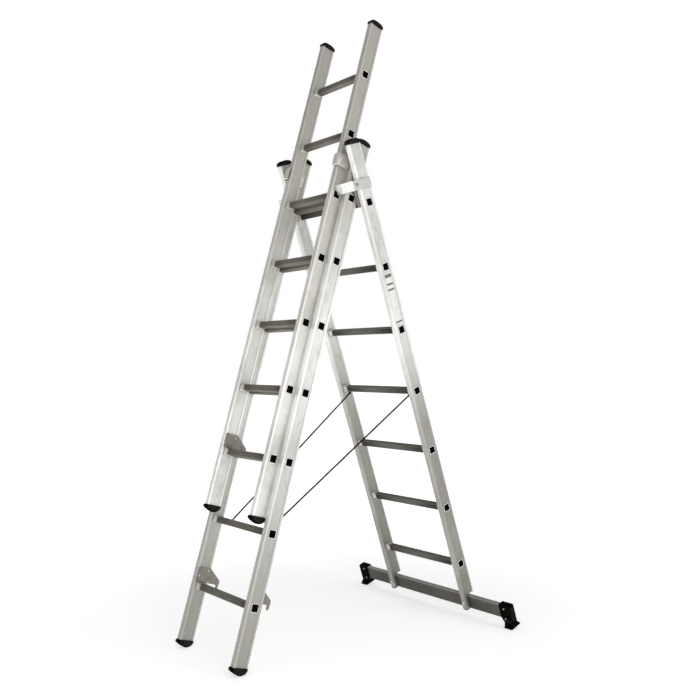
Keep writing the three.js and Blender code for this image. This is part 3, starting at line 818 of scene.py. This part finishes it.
for side, sign in SIDES:
    for k, (x, z) in enumerate(BOOT_RIVETS):
        name = f"boot_rivet_{k + 1}_{side}"
        make_rivet(name, REAR, sign * x, BOOT_RIVET_FACE, z, (0, -1, 0), 0.0034, 0.0013, BRIGHT)
    outside = sign * STRAP_FACE
    name = f"strap_bolt_head_{side}"
    make_rivet(name, REAR, outside, STRAP_BOLT, STRAP_LEVEL, (sign, 0, 0), 0.0085, 0.0034, BOLT)
    name = f"strap_rivet_{side}"
    make_rivet(name, REAR, outside, STRAP_RIVET, STRAP_LEVEL, (sign, 0, 0), 0.0046, 0.0018, BRIGHT)


# Half depth of the boot, and its distances outwards from the middle of the bar.
BOOT_FACE = 0.016
BOOT_MOUTH = 0.447
BOOT_END = 0.505
LIP_START = BOOT_MOUTH + 0.0006
LIP_END = BOOT_MOUTH + 0.0062
SKIRT_RIBS = 4
SKIRT_RIB_PITCH = 0.0086
SKIRT_RIB_HALF = 0.0014
GRIP_BARS = 6
GRIP_BAR_PITCH = 0.0112
GRIP_BAR_HALF = 0.0016
CHAMFER = 0.0005


def add_block(mesh, low, high, material):
    """Small raised block on a moulding, drawn in a little at its lower and upper ends."""
    low, high = Vector(low), Vector(high)
    rings = []
    for z, inset in ((low.z, CHAMFER), (low.z + CHAMFER, 0), (high.z - CHAMFER, 0), (high.z, CHAMFER)):
        x0, x1, y0, y1 = low.x + inset, high.x - inset, low.y + inset, high.y - inset
        rings.append([(x0, y0, z), (x1, y0, z), (x1, y1, z), (x0, y1, z)])
    loft(mesh, rings, material)


def make_boot_moulding(side, sign):
    """Raised lip round the boot's mouth, grip bars on its end face and ribs down its flared skirt."""
    mesh = bmesh.new()

    def block(x0, x1, y0, y1, z0, z1, material=0):
        a, b = sorted((sign * x0, sign * x1))
        add_block(mesh, (a, y0, z0), (b, y1, z1), material)

    for way in (-1, 1):
        y0, y1 = sorted((way * (BOOT_FACE - 0.001), way * (BOOT_FACE + 0.0011)))
        block(LIP_START, LIP_END, y0, y1, -0.2130, -0.1560)
        block(BOOT_MOUTH + 0.0110, BOOT_END - 0.0050, y0, y1, -0.2010, -0.1978)
        for step in range(SKIRT_RIBS):
            x = BOOT_MOUTH + 0.024 + step * SKIRT_RIB_PITCH
            block(x - SKIRT_RIB_HALF, x + SKIRT_RIB_HALF, y0, y1, -0.2340, -0.2245, 1)
    block(LIP_START, LIP_END, -0.0130, 0.0130, -0.1530, -0.1509)
    for step in range(GRIP_BARS):
        z = -0.168 - step * GRIP_BAR_PITCH
        block(BOOT_END - 0.001, BOOT_END + 0.0010, -0.0120, 0.0120, z - GRIP_BAR_HALF, z + GRIP_BAR_HALF, 1)
    emit(f"boot_moulding_{side}", mesh, REAR, (RUBBER, RIB_HIGHLIGHT), smooth=40)


for side, sign in SIDES:
    make_boot_moulding(side, sign)


LIP_PLUG_MIDDLE = -0.0216
# Height from the stile's cut end, half width and half depth of the plug.
LIP_PLUG_STEPS = (
    (0.010, 0.0082, 0.0072), (-0.0004, 0.0086, 0.0072), (-0.0006, 0.0122, 0.0098),
    (-0.0036, 0.0122, 0.0098), (-0.0046, 0.0112, 0.0098),
)


def make_lip_plug(side, sign):
    """Black insert that closes the front lip of the rear stile, below the bar."""
    middle = sign * (REAR["half"] - STILE_THICK / 2)
    end = -REAR["foot"]
    mesh = bmesh.new()
    rings = []
    for height, wide, deep in LIP_PLUG_STEPS:
        outline = rounded(wide, deep, 0.0018, 3)
        rings.append([(middle + a, LIP_PLUG_MIDDLE + b, end + height) for a, b in outline])
    loft(mesh, rings)
    emit(f"rear_lip_plug_{side}", mesh, REAR, (BLACK,))


for side, sign in SIDES:
    make_lip_plug(side, sign)

# -------------------------------------------------------------------- label

LABEL_LOW = 4.10 * RUNG_PITCH
LABEL_HIGH = 4.90 * RUNG_PITCH
LABEL_HALF = 0.0199
LABEL_CORNER = 0.004
# The stile's web is recessed by this much between its beads.
WEB_RECESS = 0.0016
# Height of each grey band's middle, and half its width.
LABEL_BANDS = (
    (LABEL_HIGH - 0.012, 0.0076), (LABEL_HIGH - 0.048, 0.0042),
    (LABEL_HIGH - 0.072, 0.0042), (LABEL_LOW + 0.009, 0.0038),
)


def label_look():
    """Plain foil label, blank but for grey bands across its ends, a little scuffed."""
    look = Look("label_foil", REAR)
    height = look.axes.outputs["Z"]
    scuff = look.noise(130, detail=5, rough=0.65)
    creep = look.noise(900, detail=2)
    band = None
    for centre, half in LABEL_BANDS:
        away = look.math("ABSOLUTE", look.math("SUBTRACT", height, centre))
        stripe = look.span(away, half - 0.0004, half + 0.0004, 1.0, 0.0)
        band = stripe if band is None else look.math("MAXIMUM", band, stripe)
    across = look.math("ABSOLUTE", look.axes.outputs["Y"])
    margin = look.span(across, LABEL_HALF - 0.0022, LABEL_HALF - 0.0014, 1.0, 0.0)
    band = look.math("MULTIPLY", band, margin)
    base = look.mix(look.span(scuff, 0.4, 0.72), (0.90, 0.90, 0.88), (0.76, 0.755, 0.73))
    base = look.mix(look.math("MULTIPLY", band, 0.9), base, (0.115, 0.112, 0.105))
    rough = look.math("MULTIPLY_ADD", scuff, 0.2, 0.36)
    return look.finish(base, rough, look.bump(creep, 0.00004, 0.4), metallic=0.1)


def make_label():
    """Thin label stuck on the recessed outer web of the right rear stile, its corners rounded."""
    middle = (LABEL_LOW + LABEL_HIGH) / 2
    outline = rounded(LABEL_HALF, (LABEL_HIGH - LABEL_LOW) / 2, LABEL_CORNER, 5)
    web = REAR["half"] - WEB_RECESS
    mesh = bmesh.new()
    rings = []
    for lift, inset in ((0.00005, 0.0), (0.00028, 0.0), (0.00036, 0.0002)):
        shrink = 1 - inset / LABEL_HALF
        rings.append([(web + lift, a * shrink, middle + b * shrink) for a, b in outline])
    loft(mesh, rings)
    emit("blank_label", mesh, REAR, (label_look(),), smooth=60)


make_label()

# ------------------------------------------------------------------- guides

GUIDE_LOW = 1.8000
GUIDE_TALL = 0.0530
GUIDE_FRONT = -0.0905
GUIDE_END = 0.1605
GUIDE_GAP = 0.0018
GUIDE_THICK = 0.0026
GUIDE_BEND = 0.008
GUIDE_BOW = 0.0036
ROLL_DROP = 0.0026
ROLL_RADIUS = 0.0030
BEND_STEPS = 7
BOW_STEPS = 14
# Points at the start of the path where the plate is thinner and doesn't bow.
FLAT_POINTS = 3


def guide_path(x):
    """The plate in plan: forward along the stile's inner face, then round a bend and inwards."""
    path = [(x, 0.010), (x, -0.012), (x, -0.034), (x, -0.060)]
    for k in range(BEND_STEPS + 1):
        angle = k / BEND_STEPS * math.pi / 2
        turn_x = x - GUIDE_BEND + GUIDE_BEND * math.cos(angle)
        turn_y = GUIDE_FRONT + GUIDE_BEND - GUIDE_BEND * math.sin(angle)
        path.append((turn_x, turn_y))
    return path + [(x - 0.016, GUIDE_FRONT), (x - 0.024, GUIDE_FRONT), (GUIDE_END, GUIDE_FRONT)]


def guide_levels():
    """Heights up the plate and how far it bows out at each, from the end of the rolled rim to its top."""
    levels = []
    for t in (3.0, 2.4, 1.7, 1.1, 0.5):
        levels.append((GUIDE_LOW - ROLL_DROP * math.sin(t), ROLL_RADIUS * (1 - math.cos(t))))
    for k in range(BOW_STEPS + 1):
        rise = k / BOW_STEPS
        bow = GUIDE_BOW * math.sin(math.pi * min(1.0, rise * 0.92 + 0.04)) ** 0.8
        levels.append((GUIDE_LOW + GUIDE_TALL * rise, bow))
    return levels


def make_guide(side, sign):
    """Bowed guide plate at the front section's head, with a rolled lower rim."""
    path = guide_path(FRONT["half"] - STILE_THICK - GUIDE_GAP)
    levels = guide_levels()
    mesh = bmesh.new()
    grids = []
    for face in (0.0, GUIDE_THICK):
        grid = []
        for z, bow in levels:
            row = []
            for i, (px, py) in enumerate(path):
                before, after = Vector(path[max(i - 1, 0)]), Vector(path[min(i + 1, len(path) - 1)])
                along = (after - before).normalized()
                away = Vector((-along.y, along.x))
                fade = 1.0 if i >= FLAT_POINTS else 0.0
                thin = 1 if i >= FLAT_POINTS else 0.45
                out = (bow * fade + face) * thin
                row.append(mesh.verts.new((sign * (px + away.x * out), py + away.y * out, z)))
            grid.append(row)
        grids.append(grid)
    inner, outer = grids
    rows, columns = len(levels), len(path)
    for grid in grids:
        for i in range(rows - 1):
            for j in range(columns - 1):
                mesh.faces.new((grid[i][j], grid[i][j + 1], grid[i + 1][j + 1], grid[i + 1][j]))
    for i in range(rows - 1):
        for j in (0, columns - 1):
            mesh.faces.new((inner[i][j], inner[i + 1][j], outer[i + 1][j], outer[i][j]))
    for j in range(columns - 1):
        for i in (0, rows - 1):
            mesh.faces.new((inner[i][j], inner[i][j + 1], outer[i][j + 1], outer[i][j]))
    node = f"front_guide_{side}"
    emit(f"{node}_bowed", mesh, FRONT, (GUIDE,), smooth=40, replaces=(node,))


for side, sign in SIDES:
    make_guide(side, sign)

# -------------------------------------------------------------------- cords

CORD_RADIUS = 0.0036
KNOT_RADIUS = 0.0062
KNOT_LENGTH = 0.0105
KNOT_SPAN = 0.012
CORD_REACH = RUNG_HALF + KNOT_RADIUS + 0.0003
CORD_LOW_X = {"left": -0.117, "right": 0.152}
CORD_HIGH_X = 0.205
CORD_PIECES = 8
CORD_RINGS = 38
CORD_SIDES = 16
BRAID_DEPTH = 0.055
BRAID_LOBES = 3
BRAID_TWIST = 620


def cord_ends(side, sign):
    """From behind front rung 2 to under rear rung 4, by a straight route, as the cord is held taut."""
    low = FRONT["matrix"] @ Vector((CORD_LOW_X[side], CORD_REACH, RUNG_PITCH + 0.002))
    high = REAR["matrix"] @ Vector((sign * CORD_HIGH_X, -0.003, 3 * RUNG_PITCH - CORD_REACH))
    return low, high


def cord_radius(from_end):
    """Radius of the cord, with a knot at either end."""
    if from_end >= KNOT_SPAN:
        return CORD_RADIUS
    swell = math.sin(from_end / KNOT_LENGTH * math.pi) ** 0.7 if 0 < from_end < KNOT_LENGTH else 0.0
    return CORD_RADIUS - 0.0002 + (KNOT_RADIUS - CORD_RADIUS) * swell


def make_cord_piece(side, low, high, index):
    """One length of the cord, meeting the next end to end."""
    length = (high - low).length
    matrix = facing(*low, high - low)
    first, last = index / CORD_PIECES, (index + 1) / CORD_PIECES
    mesh = bmesh.new()
    rings = []
    for i in range(CORD_RINGS + 1):
        along = (first + (last - first) * i / CORD_RINGS) * length
        radius = cord_radius(min(along, length - along))
        ring = []
        for k in range(CORD_SIDES):
            angle = k / (CORD_SIDES / 2) * math.pi
            lobe, twist = BRAID_LOBES * angle, along * BRAID_TWIST
            r = radius * (1 + BRAID_DEPTH * (math.sin(lobe + twist) * math.sin(lobe - twist)))
            ring.append(matrix @ Vector((r * math.cos(angle), r * math.sin(angle), along)))
        rings.append(ring)
    loft(mesh, rings)
    bmesh.ops.recalc_face_normals(mesh, faces=mesh.faces)
    node = f"restraint_cord_{side}"
    piece = new_piece(f"{node}_braided_{index + 1}", mesh, (BRAID,), 60)
    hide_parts(node)
    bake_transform(piece)


for side, sign in SIDES:
    low, high = cord_ends(side, sign)
    for index in range(CORD_PIECES):
        make_cord_piece(side, low, high, index)

# --------------------------------------------- CAD nodes that keep their shape


def dress(node, look, bevel, segments=2, angle=32):
    """Gives a CAD node its material, and a small bevel on edges that turn by more than an angle."""
    piece = nodes[node]
    piece.data.materials.clear()
    piece.data.materials.append(look)
    modifier = piece.modifiers.new("bevel", "BEVEL")
    modifier.width = bevel
    modifier.segments = segments
    modifier.limit_method = "ANGLE"
    modifier.angle_limit = math.radians(angle)
    modifier.harden_normals = True


for side, _ in SIDES:
    for part in SECTIONS:
        dress(f"{part['prefix']}_stile_{side}", STILES[part["prefix"]], 0.0004, 2, 20)
    for part in (FRONT, UPPER):
        dress(f"{part['prefix']}_hook_{side}", STEEL[part["prefix"]], 0.0004)
    dress(f"pivot_lug_{side}", STEEL["front"], 0.0004)
    dress(f"pivot_pin_{side}", STEEL["front"], 0.0003)
    dress(f"hinge_strap_{side}", BRIGHT, 0.0005)
    dress(f"hinge_backing_{side}", STEEL["rear"], 0.0004)
    dress(f"stabiliser_boot_{side}", RUBBER, 0.0012, 3, 25)
    dress(f"stabiliser_bolt_{side}", BRIGHT, 0.0004)
dress("stabiliser_bar", BAR, 0.0005, 2, 25)

# ----------------------------------------------------------- floor and light

FLOOR_REACH = 40.0
AMBIENT = 0.19

floor_mesh = bmesh.new()
corners = []
for a, b in ((-1, -1), (1, -1), (1, 1), (-1, 1)):
    corners.append(floor_mesh.verts.new((a * FLOOR_REACH, b * FLOOR_REACH, 0.0)))
floor_mesh.faces.new(corners)
floor_data = bpy.data.meshes.new("floor")
floor_mesh.to_mesh(floor_data)
floor_mesh.free()
floor_data.materials.append(floor_look())
floor = bpy.data.objects.new("floor", floor_data)
bpy.context.scene.collection.objects.link(floor)


def area_light(name, place, target, size, power):
    """Rectangular light at a place, facing a target and hidden from the camera."""
    data = bpy.data.lights.new(name, "AREA")
    data.shape = "RECTANGLE"
    data.size, data.size_y = size
    data.energy = power
    light = bpy.data.objects.new(name, data)
    light.location = place
    light.visible_camera = False
    light.rotation_euler = (Vector(target) - Vector(place)).to_track_quat("-Z", "Y").to_euler()
    bpy.context.scene.collection.objects.link(light)


area_light("key", (2.9, -1.3, 1.5), (0.1, -0.3, 1.25), (1.4, 1.4), 22)
area_light("side", (5.0, 1.6, 2.8), (0, 0, 1.2), (3.5, 4.0), 45)
area_light("top", (0.4, -0.3, 6.0), (0, 0, 1.0), (5.0, 5.0), 38)
area_light("fill", (0.5, -6.0, 2.2), (0, 0, 1.2), (4.0, 3.0), 16)
area_light("low_fill", (0.5, -3.4, 0.8), (0.1, -0.5, 0.7), (1.4, 1.0), 15)
area_light("far", (-5.0, 1.0, 2.6), (0, 0, 1.2), (3.5, 4.0), 26)

# The camera sees a white backdrop, while everything else is lit by a dimmer one.
world = bpy.data.worlds.new("studio")
world.use_nodes = True
backdrop = world.node_tree.nodes["Background"]
seen = world.node_tree.nodes.new("ShaderNodeLightPath")
level = world.node_tree.nodes.new("ShaderNodeMapRange")
world.node_tree.links.new(seen.outputs["Is Camera Ray"], level.inputs[0])
level.inputs[3].default_value = AMBIENT
level.inputs[4].default_value = 1.0
backdrop.inputs["Color"].default_value = (1, 1, 1, 1)
world.node_tree.links.new(level.outputs[0], backdrop.inputs["Strength"])
bpy.context.scene.world = world
bpy.context.scene.view_settings.view_transform = "Standard"
